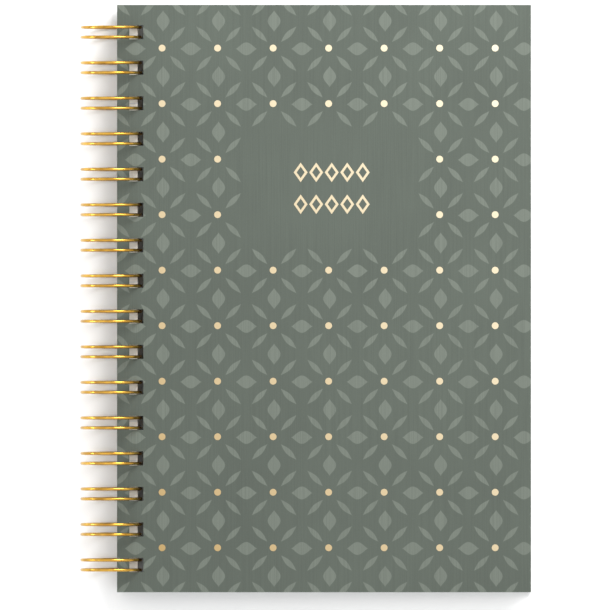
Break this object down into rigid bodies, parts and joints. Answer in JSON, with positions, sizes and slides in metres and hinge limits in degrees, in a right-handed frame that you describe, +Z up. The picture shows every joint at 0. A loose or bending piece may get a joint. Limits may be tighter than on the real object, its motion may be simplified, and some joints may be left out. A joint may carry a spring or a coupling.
{
  "type": "wire-bound notebook",
  "caption": "Hard-cover A5 notebook bound with twin-loop wire, with printed sage covers, foil dots and loose ruled sheets that turn on the loops.",
  "frame": {"origin": "below the middle of the closed notebook's box, level with the lowest point of the loops", "axes": "+X from the loops to the fore edge, +Y from tail to head, +Z up out of the front cover"},
  "size_m": [0.1612, 0.21, 0.0222],
  "materials": {
    "cover_paper": "matt, fine ribbed print paper",
    "grey_board": "raw board",
    "lining_paper": "matt",
    "page_paper": "matt, faint ruled lines",
    "gold_foil": "hot-stamped foil",
    "gold_wire": "gold-coated bright wire"
  },
  "bodies": {
    "back_cover": {"back_board": "grey_board", "back_wrap": "cover_paper", "back_lining": "lining_paper"},
    "front_cover": {"front_board": "grey_board", "front_wrap": "cover_paper", "front_lining": "lining_paper", "foil_dots": "gold_foil", "foil_emblem": "gold_foil"},
    "wire": {"binding_wire": "gold_wire"},
    "page_01": {"sheet_01": "page_paper"},
    "page_02": {"sheet_02": "page_paper"},
    "page_03": {"sheet_03": "page_paper"},
    "page_04": {"sheet_04": "page_paper"},
    "page_05": {"sheet_05": "page_paper"},
    "page_06": {"sheet_06": "page_paper"},
    "page_07": {"sheet_07": "page_paper"},
    "page_08": {"sheet_08": "page_paper"},
    "page_09": {"sheet_09": "page_paper"},
    "page_10": {"sheet_10": "page_paper"},
    "page_11": {"sheet_11": "page_paper"},
    "page_12": {"sheet_12": "page_paper"},
    "page_13": {"sheet_13": "page_paper"},
    "page_14": {"sheet_14": "page_paper"},
    "page_15": {"sheet_15": "page_paper"},
    "page_16": {"sheet_16": "page_paper"},
    "page_17": {"sheet_17": "page_paper"},
    "page_18": {"sheet_18": "page_paper"},
    "page_19": {"sheet_19": "page_paper"},
    "page_20": {"sheet_20": "page_paper"},
    "page_21": {"sheet_21": "page_paper"},
    "page_22": {"sheet_22": "page_paper"},
    "page_23": {"sheet_23": "page_paper"},
    "page_24": {"sheet_24": "page_paper"}
  },
  "joints": [
    {"name": "front_cover_turn", "type": "hinge", "parent": "back_cover", "child": "front_cover", "pos_m": [-0.0695, 0, 0.0111], "axis": [0, -1, 0], "range_deg": [0, 184]},
    {"name": "loop_roll", "type": "hinge", "parent": "back_cover", "child": "wire", "pos_m": [-0.0695, 0, 0.0111], "axis": [0, -1, 0], "range_deg": [-60, 8]},
    {"name": "page_01_turn", "type": "hinge", "parent": "back_cover", "child": "page_01", "pos_m": [-0.0695, 0, 0.0111], "axis": [0, -1, 0], "range_deg": [0, 184]},
    {"name": "page_02_turn", "type": "hinge", "parent": "back_cover", "child": "page_02", "pos_m": [-0.0695, 0, 0.0111], "axis": [0, -1, 0], "range_deg": [0, 184]},
    {"name": "page_03_turn", "type": "hinge", "parent": "back_cover", "child": "page_03", "pos_m": [-0.0695, 0, 0.0111], "axis": [0, -1, 0], "range_deg": [0, 184]},
    {"name": "page_04_turn", "type": "hinge", "parent": "back_cover", "child": "page_04", "pos_m": [-0.0695, 0, 0.0111], "axis": [0, -1, 0], "range_deg": [0, 184]},
    {"name": "page_05_turn", "type": "hinge", "parent": "back_cover", "child": "page_05", "pos_m": [-0.0695, 0, 0.0111], "axis": [0, -1, 0], "range_deg": [0, 184]},
    {"name": "page_06_turn", "type": "hinge", "parent": "back_cover", "child": "page_06", "pos_m": [-0.0695, 0, 0.0111], "axis": [0, -1, 0], "range_deg": [0, 184]},
    {"name": "page_07_turn", "type": "hinge", "parent": "back_cover", "child": "page_07", "pos_m": [-0.0695, 0, 0.0111], "axis": [0, -1, 0], "range_deg": [0, 184]},
    {"name": "page_08_turn", "type": "hinge", "parent": "back_cover", "child": "page_08", "pos_m": [-0.0695, 0, 0.0111], "axis": [0, -1, 0], "range_deg": [0, 184]},
    {"name": "page_09_turn", "type": "hinge", "parent": "back_cover", "child": "page_09", "pos_m": [-0.0695, 0, 0.0111], "axis": [0, -1, 0], "range_deg": [0, 184]},
    {"name": "page_10_turn", "type": "hinge", "parent": "back_cover", "child": "page_10", "pos_m": [-0.0695, 0, 0.0111], "axis": [0, -1, 0], "range_deg": [0, 184]},
    {"name": "page_11_turn", "type": "hinge", "parent": "back_cover", "child": "page_11", "pos_m": [-0.0695, 0, 0.0111], "axis": [0, -1, 0], "range_deg": [0, 184]},
    {"name": "page_12_turn", "type": "hinge", "parent": "back_cover", "child": "page_12", "pos_m": [-0.0695, 0, 0.0111], "axis": [0, -1, 0], "range_deg": [0, 184]},
    {"name": "page_13_turn", "type": "hinge", "parent": "back_cover", "child": "page_13", "pos_m": [-0.0695, 0, 0.0111], "axis": [0, -1, 0], "range_deg": [0, 184]},
    {"name": "page_14_turn", "type": "hinge", "parent": "back_cover", "child": "page_14", "pos_m": [-0.0695, 0, 0.0111], "axis": [0, -1, 0], "range_deg": [0, 184]},
    {"name": "page_15_turn", "type": "hinge", "parent": "back_cover", "child": "page_15", "pos_m": [-0.0695, 0, 0.0111], "axis": [0, -1, 0], "range_deg": [0, 184]},
    {"name": "page_16_turn", "type": "hinge", "parent": "back_cover", "child": "page_16", "pos_m": [-0.0695, 0, 0.0111], "axis": [0, -1, 0], "range_deg": [0, 184]},
    {"name": "page_17_turn", "type": "hinge", "parent": "back_cover", "child": "page_17", "pos_m": [-0.0695, 0, 0.0111], "axis": [0, -1, 0], "range_deg": [0, 184]},
    {"name": "page_18_turn", "type": "hinge", "parent": "back_cover", "child": "page_18", "pos_m": [-0.0695, 0, 0.0111], "axis": [0, -1, 0], "range_deg": [0, 184]},
    {"name": "page_19_turn", "type": "hinge", "parent": "back_cover", "child": "page_19", "pos_m": [-0.0695, 0, 0.0111], "axis": [0, -1, 0], "range_deg": [0, 184]},
    {"name": "page_20_turn", "type": "hinge", "parent": "back_cover", "child": "page_20", "pos_m": [-0.0695, 0, 0.0111], "axis": [0, -1, 0], "range_deg": [0, 184]},
    {"name": "page_21_turn", "type": "hinge", "parent": "back_cover", "child": "page_21", "pos_m": [-0.0695, 0, 0.0111], "axis": [0, -1, 0], "range_deg": [0, 184]},
    {"name": "page_22_turn", "type": "hinge", "parent": "back_cover", "child": "page_22", "pos_m": [-0.0695, 0, 0.0111], "axis": [0, -1, 0], "range_deg": [0, 184]},
    {"name": "page_23_turn", "type": "hinge", "parent": "back_cover", "child": "page_23", "pos_m": [-0.0695, 0, 0.0111], "axis": [0, -1, 0], "range_deg": [0, 184]},
    {"name": "page_24_turn", "type": "hinge", "parent": "back_cover", "child": "page_24", "pos_m": [-0.0695, 0, 0.0111], "axis": [0, -1, 0], "range_deg": [0, 184]}
  ],
  "couplings": [
    {"joint": "page_01_turn", "follows": "front_cover_turn", "ratio": 0.9942},
    {"joint": "page_02_turn", "follows": "front_cover_turn", "ratio": 0.9925},
    {"joint": "page_03_turn", "follows": "front_cover_turn", "ratio": 0.9908},
    {"joint": "page_04_turn", "follows": "front_cover_turn", "ratio": 0.989},
    {"joint": "page_05_turn", "follows": "front_cover_turn", "ratio": 0.987},
    {"joint": "page_06_turn", "follows": "front_cover_turn", "ratio": 0.9844},
    {"joint": "page_07_turn", "follows": "front_cover_turn", "ratio": 0.9803},
    {"joint": "page_08_turn", "follows": "front_cover_turn", "ratio": 0.9721},
    {"joint": "page_09_turn", "follows": "front_cover_turn", "ratio": 0.953},
    {"joint": "page_10_turn", "follows": "front_cover_turn", "ratio": 0.9071},
    {"joint": "page_11_turn", "follows": "front_cover_turn", "ratio": 0.8042},
    {"joint": "page_12_turn", "follows": "front_cover_turn", "ratio": 0.6172},
    {"joint": "page_13_turn", "follows": "front_cover_turn", "ratio": 0.3828},
    {"joint": "page_14_turn", "follows": "front_cover_turn", "ratio": 0.1958},
    {"joint": "page_15_turn", "follows": "front_cover_turn", "ratio": 0.0929},
    {"joint": "page_16_turn", "follows": "front_cover_turn", "ratio": 0.047},
    {"joint": "page_17_turn", "follows": "front_cover_turn", "ratio": 0.0279},
    {"joint": "page_18_turn", "follows": "front_cover_turn", "ratio": 0.0197},
    {"joint": "page_19_turn", "follows": "front_cover_turn", "ratio": 0.0156},
    {"joint": "page_20_turn", "follows": "front_cover_turn", "ratio": 0.013},
    {"joint": "page_21_turn", "follows": "front_cover_turn", "ratio": 0.011},
    {"joint": "page_22_turn", "follows": "front_cover_turn", "ratio": 0.0092},
    {"joint": "page_23_turn", "follows": "front_cover_turn", "ratio": 0.0075},
    {"joint": "page_24_turn", "follows": "front_cover_turn", "ratio": 0.0058}
  ]
}
